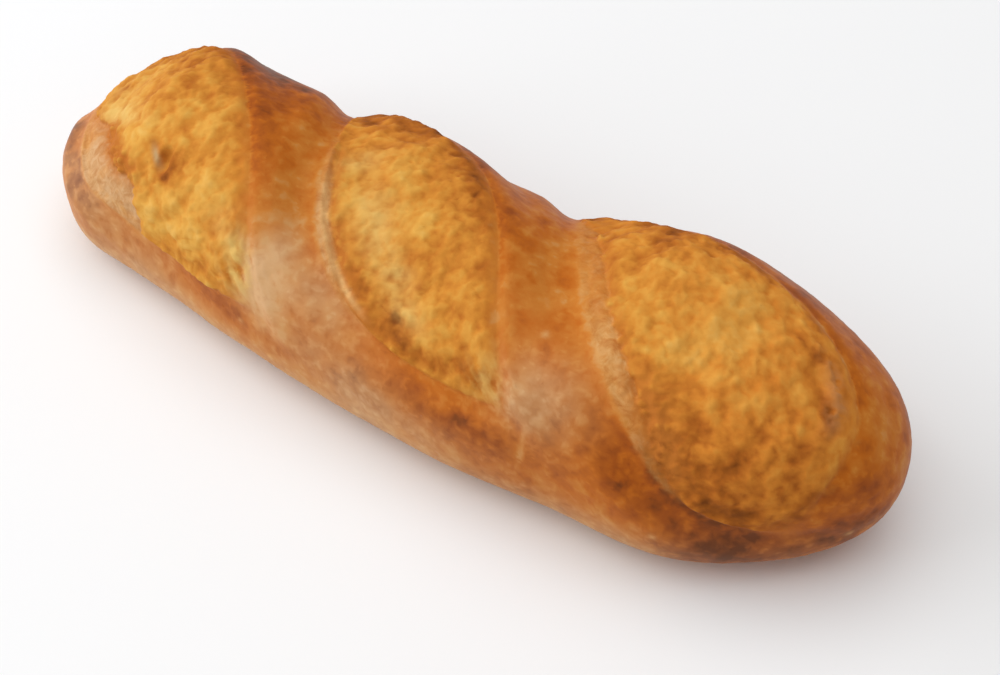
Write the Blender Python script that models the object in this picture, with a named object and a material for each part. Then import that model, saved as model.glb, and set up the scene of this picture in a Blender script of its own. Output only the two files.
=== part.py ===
"""A long white hearth loaf with three slashes that burst open in the oven.

Metres, +Z up. The loaf lies along X on its flat base, with its wider end at +X. The origin is under
the middle of its box, on the surface it rests on. The crust is one closed solid.

The crust is described on its own map: x along the loaf, and girth, the distance round the crust from
its crest, positive towards the far side (+Y). Each slash is a leaf drawn on that map. Left is -X.
"""

import math
from typing import NamedTuple

import bmesh
import bpy
import numpy as np
from mathutils import noise

# Body of the loaf
LENGTH = 0.320
WIDTH = 0.0955
HEIGHT = 0.0668
TAPER = 0.108  # how much wider and taller the right end is than the middle, as a share
BOW = 0.0075  # how far both ends curve away to the far side
LEFT_END = 0.0371  # length over which each end rounds off, seen from above
RIGHT_END = 0.0910
LEFT_SLOPE = 0.0851  # length over which the crest comes down to each end
RIGHT_SLOPE = 0.0898
WIDEST_AT = 0.42  # height of the widest line, as a share of the height
SQUARENESS_TOP = 2.15  # superellipse exponents of the cross-section, 2 being an ellipse
SQUARENESS_BASE = 3.2
SQUARENESS_END = 2.6  # of the underside's curve up to each tip
BASE_CUT = 0.0025  # depth pressed flat against the baking tray

# Steps in the crust at a slash
REACH = 0.015  # how far a step spreads over the smooth crust beside it
BLEND = 0.004  # how far it is softened past the tips of the slash
RUN = 0.98  # share of the crumb's width over which it climbs out of the step

# Where the crust meets the crumb that broke out of a slash
LIP_HEIGHT = 0.0014
LIP_INSET = 0.0005
LIP_EDGE = 0.0020  # width of the lip's steep side, towards the crumb
LIP_RUN = 0.0045  # width of its long side, down to the crust
GROOVE_DEPTH = 0.0010
GROOVE_INSET = 0.0008  # how far it lies past the pale strip
GROOVE_WIDTH = 0.0013
STRIP_DEPTH = 0.0010  # pale strip that opened last, between the lip and the crumb
STRIP_CROWN = 0.0009  # how far the strip bulges along its middle
CRUMB_RISE = 0.0008
STEP_WIDTH = 0.0016  # half the width of the ragged step from the strip up to the crumb
STEP_RAGGED = 1.6  # how far the crags push the step about, as a multiple of their height
CREASE_DEPTH = 0.0008  # where the crumb runs back into the crust on the other side
CREASE_WIDTH = 0.0020

# Uneven forms
CRAG_HEIGHT = 0.0011
CRAG_SIZE = 0.0100
WAVE_HEIGHT = 0.0008
WAVE_SIZE = 0.0450
RELIEF_FLOOR = 0.015  # the relief fades out over this height above the base

# Mesh
RINGS = 300
SEGMENTS = 240
CREST_DENSITY = 2.2  # segments on the crest, for each one on the base
TRIANGLES = 11400
TABLE_POINTS = 2001
EDGE_POINTS = 120

CRUST_COLOUR = (0.50, 0.215, 0.055, 1.0)
CRUST_ROUGHNESS = 0.5


class Bulge(NamedTuple):
    """A place along the loaf where the dough stands out, or in if its height is negative."""

    x: float
    length: float
    height: float


class Side(NamedTuple):
    """One side of a slash: how it bulges from the line between the tips."""

    width: float
    skew: float  # above 1 puts the widest point nearer the near tip
    fullness: float  # below 1 gives a blunter leaf


class Slash(NamedTuple):
    """One opened slash. Tips are (x, girth)."""

    far_tip: tuple
    near_tip: tuple
    left: Side
    right: Side
    drop: float  # depth of the crust at the left side
    rise: float  # height of the crust at the right side
    swell: float  # how far the crumb domes up
    swell_skew: float  # above 1 puts the top of the dome nearer the right side
    strip_width: float
    strip_ends: tuple  # shares of the way to the near tip between which the strip shows


NEAR_BULGES = (
    Bulge(-0.145, 0.020, -0.0008),
    Bulge(-0.105, 0.032, -0.0017),
    Bulge(0.008, 0.050, 0.0029),
    Bulge(0.075, 0.026, -0.0020),
    Bulge(0.115, 0.030, 0.0031),
    Bulge(0.145, 0.032, -0.0050),
)
TOP_BULGE_SPREAD = 0.6  # how much a bulge of the top also widens the far side
TOP_BULGE_FULL = 0.040  # height of the crust above its widest line where a bulge stands out in full
TOP_BULGES = (
    Bulge(-0.148, 0.012, -0.0025),
    Bulge(-0.132, 0.014, -0.0036),
    Bulge(-0.112, 0.016, 0.0024),
    Bulge(-0.070, 0.030, 0.0007),
    Bulge(0.010, 0.040, -0.0040),
    Bulge(0.048, 0.022, -0.0033),
    Bulge(0.075, 0.035, 0.0048),
    Bulge(0.120, 0.040, 0.0006),
)

SLASHES = (
    Slash(
        (-0.1470, 0.0555), (-0.0400, -0.0590), Side(0.0604, 0.975, 0.775), Side(0.0125, 1.15, 1.28),
        drop=0.0029, rise=0.0038, swell=0.0013, swell_skew=1.0,
        strip_width=0.0155, strip_ends=(0.36, 0.70),
    ),
    Slash(
        (-0.0680, 0.0540), (0.0540, -0.0512), Side(0.0387, 1.18, 0.99), Side(0.0210, 0.87, 1.20),
        drop=0.0043, rise=0.0049, swell=0.0015, swell_skew=1.39,
        strip_width=0.0042, strip_ends=(0.27, 0.61),
    ),
    Slash(
        (0.0230, 0.0599), (0.1453, -0.0709), Side(0.0253, 1.16, 0.66), Side(0.0484, 1.48, 1.38),
        drop=0.0041, rise=0.0009, swell=0.0015, swell_skew=1.4,
        strip_width=0.0070, strip_ends=(0.16, 0.74),
    ),
)

# Pit where a bubble opened in the left slash
PIT_X = -0.0960
PIT_GIRTH = -0.0300
PIT_LENGTH = 0.0026  # half its size along the loaf
PIT_GIRTH_SIZE = 0.0050
PIT_DEPTH = 0.0026

# Torn fold inside the right slash, beside its right side
FOLD_INSET = 0.0125
FOLD_WIDTH = 0.0016
FOLD_DEPTH = 0.0013
FOLD_LIP_INSET = 0.0085
FOLD_LIP_HEIGHT = 0.0009
FOLD_ENDS = (0.57, 0.78)


def smooth(low, high, value):
    """0 at low and 1 at high, with an even slope between them."""
    t = np.clip((value - low) / (high - low), 0, 1)
    return t * t * (3 - 2 * t)


def window(ends, fade, value):
    """1 between the two ends, and 0 a little outside them."""
    return smooth(ends[0] - fade, ends[0] + fade, value) * smooth(ends[1] + fade, ends[1] - fade, value)


def bump(value, width):
    return np.exp(-((value / width) ** 2))


def power(value, exponent):
    """A power that keeps the sign."""
    return np.sign(value) * np.abs(value) ** exponent


def end_rounding(x, left_length, right_length):
    """0 over the middle of the loaf, growing to 1 at each tip."""
    left = np.clip(1 - (x + LENGTH / 2) / left_length, 0, 1)
    right = np.clip(1 - (LENGTH / 2 - x) / right_length, 0, 1)
    return left + right


def bulge_height(bulges, x):
    return sum(bulge.height * bump(x - bulge.x, bulge.length) for bulge in bulges)


def body_points(x, angle):
    """Points of the plain loaf. angle is 0 on the crest and grows towards the far side."""
    plan_end = end_rounding(x, LEFT_END, RIGHT_END)
    crest_end = end_rounding(x, LEFT_SLOPE, RIGHT_SLOPE)
    plan_round = np.sqrt(np.clip(1 - plan_end**2, 0, 1))
    crest_round = np.sqrt(np.clip(1 - crest_end**2, 0, 1))
    under_round = np.clip(1 - plan_end**SQUARENESS_END, 0, 1) ** (1 / SQUARENESS_END)

    share = x / (LENGTH / 2)
    height = HEIGHT * (1 + TAPER * share) + BASE_CUT
    widest = WIDEST_AT * height
    near_bulge = bulge_height(NEAR_BULGES, x)
    top_bulge = bulge_height(TOP_BULGES, x)
    across, up = np.sin(angle), np.cos(angle)
    above = up >= 0
    half_width = WIDTH / 2 * (1 + TAPER * share)
    half_width = half_width + np.where(across < 0, near_bulge, TOP_BULGE_SPREAD * top_bulge)

    y = np.where(above, power(across, 2 / SQUARENESS_TOP), power(across, 2 / SQUARENESS_BASE))
    top = (height - widest) * crest_round * np.abs(up) ** (2 / SQUARENESS_TOP)
    top = top * (1 + top_bulge / TOP_BULGE_FULL)
    under = widest * under_round * np.abs(up) ** (2 / SQUARENESS_BASE)
    z = np.maximum(widest + np.where(above, top, -under) - BASE_CUT, 0)
    return np.stack([x, BOW * share**2 + half_width * plan_round * y, z], axis=-1)


def path_lengths(points):
    steps = np.linalg.norm(np.diff(points, axis=0), axis=1)
    return np.concatenate([[0], np.cumsum(steps)])


def girth_of(angle):
    """Distance round the crust from the crest, measured on the loaf's middle section."""
    angles = np.linspace(-math.pi, math.pi, TABLE_POINTS)
    lengths = path_lengths(body_points(np.zeros(TABLE_POINTS), angles))
    return np.interp(angle, angles, lengths - lengths[TABLE_POINTS // 2])


def side_offset(side, share):
    return side.width * np.sin(math.pi * np.clip(share, 0, 1) ** side.skew) ** side.fullness


def distance_to_path(path, x, girth):
    """Distance on the crust's map from each point to a path of straight steps."""
    nearest = np.full(x.shape, np.inf)
    for start, end in zip(path[:-1], path[1:]):
        step = end - start
        from_x, from_girth = x - start[0], girth - start[1]
        t = np.clip((from_x * step[0] + from_girth * step[1]) / (step @ step), 0, 1)
        nearest = np.minimum(nearest, (from_x - t * step[0]) ** 2 + (from_girth - t * step[1]) ** 2)
    return np.sqrt(nearest)


def slash_distances(slash, x, girth):
    """(share of the way to the near tip, distance in from the left side, and from the right side)."""
    far, near = np.array(slash.far_tip), np.array(slash.near_tip)
    length = np.hypot(*(near - far))
    along = (near - far) / length
    leftward = np.array([along[1], -along[0]])
    share = ((x - far[0]) * along[0] + (girth - far[1]) * along[1]) / length
    across = (x - far[0]) * leftward[0] + (girth - far[1]) * leftward[1]

    distances = []
    shares = np.linspace(0, 1, EDGE_POINTS)
    for side, sign in ((slash.left, 1), (slash.right, -1)):
        offsets = sign * side_offset(side, shares)
        path = far + np.outer(shares * length, along) + np.outer(offsets, leftward)
        path = np.vstack([far - along * length, path, near + along * length])
        inside = side_offset(side, share) > sign * across
        distances.append(np.where(inside, 1, -1) * distance_to_path(path, x, girth))
    return share, distances[0], distances[1]


def fractal(points, size, octaves):
    return np.array([noise.fractal(p, 0.7, 2.1, octaves) for p in (points / size).tolist()])


def slash_relief(slash, x, girth, crags):
    """Height that one slash adds to the crust."""
    share, left, right = slash_distances(slash, x, girth)
    width = np.maximum(left + right, 1e-6)
    climb = np.clip((left + BLEND) / (width + 2 * BLEND), 0, 1)
    step = slash.rise * smooth(0.2, 1, climb) - slash.drop * smooth(RUN, 0, climb)
    spread = smooth(REACH, 0, np.maximum(-left, -right))
    total = step * spread * smooth(-0.16, 0.10, share) * smooth(1.15, 0.75, share)

    open_crust = window((0.05, 0.95), 0.05, share)
    inside = smooth(0, 0.0015, np.minimum(left, right)) * open_crust
    dome = np.sin(math.pi * np.clip(left / width, 0, 1) ** slash.swell_skew)
    total = total + slash.swell * dome * smooth(0, 0.030, width) * inside

    strip = window(slash.strip_ends, 0.09, share)
    strip_width = slash.strip_width * strip
    lip = LIP_HEIGHT * bump(left - LIP_INSET, np.where(left < LIP_INSET, LIP_RUN, LIP_EDGE))
    groove = -GROOVE_DEPTH * bump(left - strip_width - GROOVE_INSET, GROOVE_WIDTH)
    total = total + (lip + groove) * (0.3 + 0.7 * strip) * open_crust * smooth(0, 0.004, right)

    on_crumb = smooth(-STEP_WIDTH, STEP_WIDTH, left - strip_width + STEP_RAGGED * crags)
    crown = STRIP_CROWN * bump(left - 0.55 * strip_width, 0.35 * slash.strip_width) * strip
    shelf = (crown - STRIP_DEPTH * strip) * (1 - on_crumb) * inside
    crumb = (CRUMB_RISE + crags) * on_crumb * inside * smooth(0, 0.006, right) * smooth(0, 0.02, width)
    crease = -CREASE_DEPTH * bump(right, CREASE_WIDTH) * open_crust * smooth(0, 0.004, left)
    return total + shelf + crumb + crease


def pit_relief(x, girth):
    across, along = (x - PIT_X) / PIT_LENGTH, (girth - PIT_GIRTH) / PIT_GIRTH_SIZE
    return -PIT_DEPTH * np.exp(-((across**2 + along**2) ** 2))


def fold_relief(x, girth):
    share, left, right = slash_distances(SLASHES[-1], x, girth)
    groove = -FOLD_DEPTH * bump(right - FOLD_INSET, FOLD_WIDTH)
    lip = FOLD_LIP_HEIGHT * bump(right - FOLD_LIP_INSET, FOLD_WIDTH)
    return (groove + lip) * window(FOLD_ENDS, 0.07, share) * smooth(0, 0.01, left)


def relief(points, x, girth):
    """Height of the uneven crust above the plain loaf."""
    crags = CRAG_HEIGHT * fractal(points, CRAG_SIZE, 3)
    total = WAVE_HEIGHT * fractal(points, WAVE_SIZE, 2)
    for slash in SLASHES:
        total = total + slash_relief(slash, x, girth, crags)
    total = total + pit_relief(x, girth) + fold_relief(x, girth)
    return total * smooth(0, RELIEF_FLOOR, points[:, 2])


def stations(shares):
    """Places along X spaced evenly along the loaf's outline, so that the ends are as fine as the middle."""
    x = LENGTH / 2 * np.sin(np.linspace(-math.pi / 2, math.pi / 2, TABLE_POINTS))
    lengths = path_lengths(body_points(x, np.full(TABLE_POINTS, math.pi / 2)))
    return np.interp(shares, lengths / lengths[-1], x)


def girth_angles(shares):
    """Angles round the loaf, closer together on the crest than on the base."""
    angles = np.linspace(-math.pi, math.pi, TABLE_POINTS)
    density = 1 + (CREST_DENSITY - 1) * (1 + np.cos(angles)) / 2
    running = np.concatenate([[0], np.cumsum((density[1:] + density[:-1]) / 2)])
    return np.interp(shares, running / running[-1], angles)


def read_vectors(mesh, name):
    values = np.empty(len(mesh.vertices) * 3, np.float32)
    mesh.vertices.foreach_get(name, values)
    return values.reshape(-1, 3).astype(float)


def move_vertices(mesh, points):
    mesh.vertices.foreach_set("co", points.astype(np.float32).ravel())
    mesh.update()


def loaf_mesh():
    """A unit sphere, with its poles turned to the loaf's ends and every point moved onto the crust."""
    made = bmesh.new()
    bmesh.ops.create_uvsphere(made, u_segments=SEGMENTS, v_segments=RINGS, radius=1)
    mesh = bpy.data.meshes.new("loaf")
    made.to_mesh(mesh)
    made.free()

    sphere = read_vectors(mesh, "co")
    latitude = np.arcsin(np.clip(sphere[:, 2], -1, 1))
    longitude = np.arctan2(sphere[:, 1], sphere[:, 0])
    x = stations(0.5 + latitude / math.pi)
    angle = girth_angles(0.5 - longitude / (2 * math.pi))
    plain = body_points(x, angle)
    move_vertices(mesh, plain)

    height = relief(plain, x, girth_of(angle))
    points = plain + read_vectors(mesh, "normal") * height[:, None]
    points[:, 2] = np.maximum(points[:, 2], 0)
    move_vertices(mesh, points)
    return mesh


def thinned(obj, triangles):
    """The object's mesh with its triangles kept where the relief is, and spent least on smooth crust."""
    full = sum(len(face.vertices) - 2 for face in obj.data.polygons)
    modifier = obj.modifiers.new("thin", "DECIMATE")
    modifier.ratio = triangles / full
    modifier.use_collapse_triangulate = True
    graph = bpy.context.evaluated_depsgraph_get()
    mesh = bpy.data.meshes.new_from_object(obj.evaluated_get(graph))
    obj.modifiers.remove(modifier)
    return mesh


def stand_on_origin(mesh):
    """Centres the box over the origin, and presses the base flat."""
    points = read_vectors(mesh, "co")
    points[:, :2] -= (points[:, :2].max(axis=0) + points[:, :2].min(axis=0)) / 2
    points[points[:, 2] < 0.0001, 2] = 0
    move_vertices(mesh, points)


def crust_material():
    material = bpy.data.materials.new("crust")
    material.use_nodes = True
    shader = material.node_tree.nodes["Principled BSDF"]
    shader.inputs["Base Color"].default_value = CRUST_COLOUR
    shader.inputs["Roughness"].default_value = CRUST_ROUGHNESS
    shader.inputs["Metallic"].default_value = 0.0
    return material


def clear_scene():
    for obj in list(bpy.data.objects):
        bpy.data.objects.remove(obj)


def main():
    clear_scene()
    collection = bpy.data.collections.new("long_white_loaf")
    bpy.context.scene.collection.children.link(collection)
    loaf = bpy.data.objects.new("loaf", loaf_mesh())
    collection.objects.link(loaf)
    loaf.data = thinned(loaf, TRIANGLES)
    stand_on_origin(loaf.data)
    loaf.data.materials.append(crust_material())
    loaf.data.shade_smooth()


main()
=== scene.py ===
"""A long white loaf with three burst slashes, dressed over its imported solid.

The loaf is built again from the same sizes as the solid, fine enough to carry the torn crumb, and stands
in for it. Metres, +Z up, with the loaf along X. The crust is described on its own map: x along the loaf,
and girth, the distance round the crust from its crest, positive towards the far side (+Y).
"""

import math
from typing import NamedTuple

import bmesh
import bpy
import numpy as np
from mathutils import Matrix, Vector, kdtree, noise


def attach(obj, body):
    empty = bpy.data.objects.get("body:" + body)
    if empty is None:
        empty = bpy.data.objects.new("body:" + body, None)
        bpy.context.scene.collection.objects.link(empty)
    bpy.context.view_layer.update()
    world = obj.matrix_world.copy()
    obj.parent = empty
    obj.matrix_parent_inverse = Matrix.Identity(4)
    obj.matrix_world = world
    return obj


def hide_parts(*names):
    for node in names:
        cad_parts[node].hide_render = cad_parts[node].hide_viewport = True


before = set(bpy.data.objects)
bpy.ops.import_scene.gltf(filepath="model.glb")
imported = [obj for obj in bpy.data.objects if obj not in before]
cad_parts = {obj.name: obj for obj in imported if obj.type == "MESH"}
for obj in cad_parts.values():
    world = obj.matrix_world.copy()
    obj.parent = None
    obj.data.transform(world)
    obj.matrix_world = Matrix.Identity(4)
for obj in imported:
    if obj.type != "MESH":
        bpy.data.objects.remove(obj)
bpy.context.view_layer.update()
Field = np.ndarray  # one value at each point of the loaf

# ---------------------------------------------------------------- sizes shared with the solid

LENGTH = 0.320
WIDTH = 0.0955
HEIGHT = 0.0668
TAPER = 0.108  # how much wider and taller the right end is than the middle, as a share
BOW = 0.0075  # how far both ends curve away to the far side
LEFT_END = 0.0371  # length over which each end rounds off, seen from above
RIGHT_END = 0.0910
LEFT_SLOPE = 0.0851  # length over which the crest comes down to each end
RIGHT_SLOPE = 0.0898
WIDEST_AT = 0.42  # height of the widest line, as a share of the height
SQUARENESS_TOP = 2.15  # superellipse exponents of the cross-section, 2 being an ellipse
SQUARENESS_BASE = 3.2
SQUARENESS_END = 2.6  # of the underside's curve up to each tip
BASE_CUT = 0.0025  # depth pressed flat against the baking tray

# Steps in the crust at a slash
REACH = 0.015  # how far a step spreads over the smooth crust beside it
BLEND = 0.004  # how far it is softened past the sides of the slash
RISE_START = 0.2  # share of the crumb's width where the climb to the right side starts
RUN = 0.98  # share of the crumb's width over which it climbs out of the drop
STEP_FAR_FADE = (-0.16, 0.10)  # shares of the way to the near tip over which a step comes
STEP_NEAR_FADE = (1.15, 0.75)  # and goes
OPEN_ENDS = (0.05, 0.95)  # shares of the way between which the crust is torn open
OPEN_FADE = 0.05
SIDE_FADE = 0.0015  # width over which the swell and the crumb start at either side
SWELL_WIDTH = 0.030  # width of the crumb at which it swells in full
LEAST_WIDTH = 1e-6  # keeps a closed slash from dividing by zero

# Where the crust meets the crumb that broke out of a slash
LIP_HEIGHT = 0.0014
LIP_INSET = 0.0005
LIP_EDGE = 0.0020  # width of the lip's steep side, towards the crumb
LIP_RUN = 0.0045  # width of its long side, down to the crust
LIP_PAST_STRIP = 0.3  # how high the lip stands where there is no strip, as a share
LIP_CLEARANCE = 0.004  # the lip fades out this near to the other side, and so does the crease
GROOVE_DEPTH = 0.0010
GROOVE_INSET = 0.0008  # how far it lies past the pale strip
GROOVE_WIDTH = 0.0013
STRIP_DEPTH = 0.0010  # pale strip that opened last, between the lip and the crumb
STRIP_CROWN = 0.0009  # how far the strip bulges along its middle
STRIP_CROWN_AT = 0.55  # where that is, as a share of the strip's width
STRIP_CROWN_WIDTH = 0.35
STRIP_FADE = 0.09  # share of the way to the near tip over which a strip starts and ends
CRUMB_RISE = 0.0008
CRUMB_CLEARANCE = 0.006  # width over which the crumb comes down to the right side
CRUMB_FULL_WIDTH = 0.02  # width of the crumb at which it rises in full
STEP_WIDTH = 0.0016  # width of the ragged step from the strip up to the crumb
STEP_RAGGED = 1.6  # how far the crags push the step about, as a multiple of their height
CREASE_DEPTH = 0.0008  # where the crumb runs back into the crust on the other side
CREASE_WIDTH = 0.0020

# Uneven forms
CRAG_HEIGHT = 0.0011
CRAG_SIZE = 0.0100
WAVE_HEIGHT = 0.0008
WAVE_SIZE = 0.0450
FRACTAL_FADE = 0.7  # how fast a noise's finer layers weaken
FRACTAL_STEP = 2.1  # how many times finer each is than the last
RELIEF_FLOOR = 0.015  # the relief fades out over this height above the base

TABLE_POINTS = 2001
EDGE_POINTS = 120

CENTRE = (-0.000046, 0.002174)  # how far the solid was moved to centre its box


class Bulge(NamedTuple):
    """A place along the loaf where the dough stands out, or in if its height is negative."""

    x: float
    length: float
    height: float


class Side(NamedTuple):
    """One side of a slash: how it bulges from the line between the tips."""

    width: float
    skew: float  # above 1 puts the widest point nearer the near tip
    fullness: float  # below 1 gives a blunter leaf


class Slash(NamedTuple):
    """One opened slash. Tips are (x, girth)."""

    far_tip: tuple
    near_tip: tuple
    left: Side
    right: Side
    drop: float  # depth of the crust at the left side
    rise: float  # height of the crust at the right side
    swell: float  # how far the crumb domes up
    swell_skew: float  # above 1 puts the top of the dome nearer the right side
    strip_width: float
    strip_ends: tuple  # shares of the way to the near tip between which the strip shows


NEAR_BULGES = (
    Bulge(-0.145, 0.020, -0.0008),
    Bulge(-0.105, 0.032, -0.0017),
    Bulge(0.008, 0.050, 0.0029),
    Bulge(0.075, 0.026, -0.0020),
    Bulge(0.115, 0.030, 0.0031),
    Bulge(0.145, 0.032, -0.0050),
)
TOP_BULGE_SPREAD = 0.6  # how much a bulge of the top also widens the far side
TOP_BULGE_FULL = 0.040  # height of the crust above its widest line where a bulge stands out in full
TOP_BULGES = (
    Bulge(-0.148, 0.012, -0.0025),
    Bulge(-0.132, 0.014, -0.0036),
    Bulge(-0.112, 0.016, 0.0024),
    Bulge(-0.070, 0.030, 0.0007),
    Bulge(0.010, 0.040, -0.0040),
    Bulge(0.048, 0.022, -0.0033),
    Bulge(0.075, 0.035, 0.0048),
    Bulge(0.120, 0.040, 0.0006),
)

SLASHES = (
    Slash(
        (-0.1470, 0.0555), (-0.0400, -0.0590), Side(0.0604, 0.975, 0.775), Side(0.0125, 1.15, 1.28),
        drop=0.0029, rise=0.0038, swell=0.0013, swell_skew=1.0,
        strip_width=0.0155, strip_ends=(0.36, 0.70),
    ),
    Slash(
        (-0.0680, 0.0540), (0.0540, -0.0512), Side(0.0387, 1.18, 0.99), Side(0.0210, 0.87, 1.20),
        drop=0.0043, rise=0.0049, swell=0.0015, swell_skew=1.39,
        strip_width=0.0042, strip_ends=(0.27, 0.61),
    ),
    Slash(
        (0.0230, 0.0599), (0.1453, -0.0709), Side(0.0253, 1.16, 0.66), Side(0.0484, 1.48, 1.38),
        drop=0.0041, rise=0.0009, swell=0.0015, swell_skew=1.4,
        strip_width=0.0070, strip_ends=(0.16, 0.74),
    ),
)

PIT_X = -0.0960
PIT_GIRTH = -0.0300
PIT_LENGTH = 0.0026
PIT_GIRTH_SIZE = 0.0050
PIT_DEPTH = 0.0026

FOLD_INSET = 0.0125  # distance of the torn fold's groove from the right side of the last slash
FOLD_WIDTH = 0.0016
FOLD_DEPTH = 0.0013
FOLD_LIP_INSET = 0.0085
FOLD_LIP_HEIGHT = 0.0009
FOLD_ENDS = (0.57, 0.78)
FOLD_FADE = 0.07
FOLD_CLEARANCE = 0.01  # distance from the left side at which the fold is there in full

# ---------------------------------------------------------------- fine forms of the visible loaf

RINGS, SEGMENTS = ((640, 560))
CREST_DENSITY = 2.4  # segments on the crest, for each one on the base
TRIANGLES = 190000  # triangles the loaf is thinned to; an exported piece may have 200,000

PIT_SHARE = 1.3  # how deep the pit is, as a share of the solid's
CREASE_SHARE = 0.4  # how deep the crease on the right is, as a share of the solid's

# Fine relief. The names on the left are those of Texture, the heights are in metres.
CRUMB_RELIEF = {"crags": 1, "lumps": 0.00028, "medium": 0.00008, "cuts": -0.00016, "pores": -0.00018}
STRIP_RELIEF = {"medium": 0.00020, "lumps": 0.00032}
SKIN_RELIEF = {"lumps": 0.00008, "flecks": 0.00009, "pimples": 0.00020}
STREAK_RELIEF = 0.00035
RAGGED = {"crags": STEP_RAGGED, "lumps": 0.0008, "medium": 0.0004}  # how noise moves a strip's edge

# Where the colours lie beside a slash, as distances in from its left or its right side
LUMPS_FADE = 0.05  # shares of the way to the near tip over which the looks of a strip come and go
PALE_FADE = 0.06
CREST_HIGHLIGHT_FADE = 0.05
PALE_WIDTH = 0.0014  # least width of a pale strip
PALE_WIDTH_FADE = 0.03
PALE_EDGE = 0.0012  # half the width over which its colour fades
PALE_START = (-0.0012, 0.0004)  # over which it comes in from the left side
PALE_RAGGED = 0.0006
CRUMB_EDGE = 0.0016
CRUMB_RAGGED = 0.0008
TORN_RIGHT = (-0.0010, 0.0045)  # over which the crumb's colour comes in from the right side
TORN_RAGGED = 0.0016
TOAST_AND_SHADE_INSET = 0.0018  # toasted line past the strip, partly painted shade in the groove there
TOAST_AND_SHADE_WIDTH = 0.0020
CREST_HIGHLIGHT_INSET = 0.0029  # painted highlight on the crest of the lip
CREST_HIGHLIGHT_WIDTH = 0.0014
LIP_HIGHLIGHT_WIDTH = 0.0012  # painted highlight: lighter crust along the lip, a little outside it
LIP_HIGHLIGHT_SHIFT = 0.0002
RIM_RUN = (0.0090, 0.0010)  # warmer crumb along the right side
BROWNED_RUN = 0.0090  # darker crust past the right side
BROWNED_ENDS = (0.02, 0.72)
BROWNED_FADE = 0.10
BAND_WIDTH = 0.0026  # pinkish skin on the fold's lip
BAND_SHIFT = 0.0007
BAND_ENDS = (0.61, 0.75)
BAND_FADE = 0.05
FOLD_RIM_INSET = 0.0022  # warm crumb between the fold and the crust
FOLD_RIM_WIDTH = 0.0018
FOLD_RIM_ENDS = (0.58, 0.86)
FOLD_RIM_FADE = 0.06

# Runs over which the colours change along the loaf (x) and round it (girth)
FAR_CRUMB = (0.012, 0.046)  # girths over which the crumb darkens
FAR_WARM = (0.000, 0.035)  # and turns warm
FAR_WARM_FROM = (-0.110, -0.080)  # x from which it does
RIGHT_WARM = (0.060, 0.120)  # x over which the crumb turns warm everywhere
FAR_CRUST = (0.012, 0.050)  # girths over which the crust darkens
FAR_CRUST_END = (0.110, 0.080)  # and is light again
NEAR_SHEEN_GIRTHS = (-0.068, -0.084)  # girths over which the near side gets a painted sheen, duller and lighter
NEAR_SHEEN_END = (0.125, 0.080)  # x over which that ends

# Lightness of the crumb: a level, then what each noise and each place adds to it
CRUMB_TONE = 0.52
# The crags, cuts and pores paint shade into the crumb: darker in its hollows, cuts and pores, lighter on
# its high forms
TONE_NOISE = {
    "lumps": 0.18, "medium": 0.06, "crags": 90, "broad": 0.16, "gate": 0.17, "cuts": -0.13, "pores": -0.14,
}
FAR_TONE = -0.34
RIM_TONE = (-0.10, -0.08)  # everywhere, and with the lumps
FOLD_RIM_TONE = 0.12

# How far the crumb turns from golden to orange
FAR_WARMTH = 0.6
RIM_WARMTH = 0.7
FOLD_RIM_WARMTH = 0.6

# Darkness of the crust
CRUST_BAKE = 0.42
BAKE_NOISE = {"broad": 0.10, "lumps": 0.04, "gate": 0.16}
BROWNED_BAKE = 0.26
FAR_BAKE = 0.22
# lighter crust on the near side, part of its painted sheen
NEAR_SHEEN_BAKE = -0.16
# lighter crust along the lip, a painted highlight
LIP_HIGHLIGHT_BAKE = -0.20
STREAK_BAKE = -0.30
LIGHT_FLECKS = (0.15, 0.55)  # flecks between these turn the crust lighter
LIGHT_FLECK_BAKE = -0.16
DARK_FLECKS = (-0.20, -0.60)
DARK_FLECK_BAKE = 0.10

# Painted sheen: a dull pinkish colour on the crust where it would reflect the light, and pale crumb
SHEEN_LEVEL = 0.85
SHEEN_NOISE = {"broad": 0.4, "gate": 0.25}
NEAR_SHEEN_LEVEL = 0.8
STREAK_SHEEN = 0.5
PALE_LEVEL = 0.75
PALE_NOISE = {"lumps": 0.6}
TIP_PALE = (0.25, 1.1)  # everywhere, and with the streaks

# Pale strips, and toasted edges with painted shade in the grooves
STRIP_SHOWS = (-0.08, 0.20)  # a strip's colour comes as the strip itself does
STRIP_LEAST = 0.5  # how much of it there is away from its palest stretch
STRIP_BROKEN = 0.5  # how far the lumps at its edge break it up
STRIP_BROKEN_BY = (-0.4, 0.3)
CRUMB_ON_STRIP = 0.2  # how much crumb colour is left on a strip
TOASTED_LUMPS = (1.9, -1.6)  # everywhere, and in the middle of each lump
TOAST_AND_SHADE_LINE = 0.85
TOAST_AND_SHADE_LINE_SHOWS = (0.1, 0.6)
FOLD_LEVEL = (0.5, 0.6)  # height of the fold: everywhere, and with the lumps
BAND_BROKEN_BY = (-0.7, 0.1)
BAND_STRENGTH = 0.75


def smooth(low, high, value):
    t = np.clip((value - low) / (high - low), 0, 1)
    return t * t * (3 - 2 * t)


def window(ends, fade, value):
    return smooth(ends[0] - fade, ends[0] + fade, value) * smooth(ends[1] + fade, ends[1] - fade, value)


def bump(value, width):
    return np.exp(-((value / width) ** 2))


def power(value, exponent):
    return np.sign(value) * np.abs(value) ** exponent


def mix(low, high, share):
    return low + (high - low) * share


# ---------------------------------------------------------------- the plain loaf, as in the solid


def end_rounding(x, left_length, right_length):
    left = np.clip(1 - (x + LENGTH / 2) / left_length, 0, 1)
    right = np.clip(1 - (LENGTH / 2 - x) / right_length, 0, 1)
    return left + right


def bulge_height(bulges, x):
    return sum(bulge.height * bump(x - bulge.x, bulge.length) for bulge in bulges)


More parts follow.
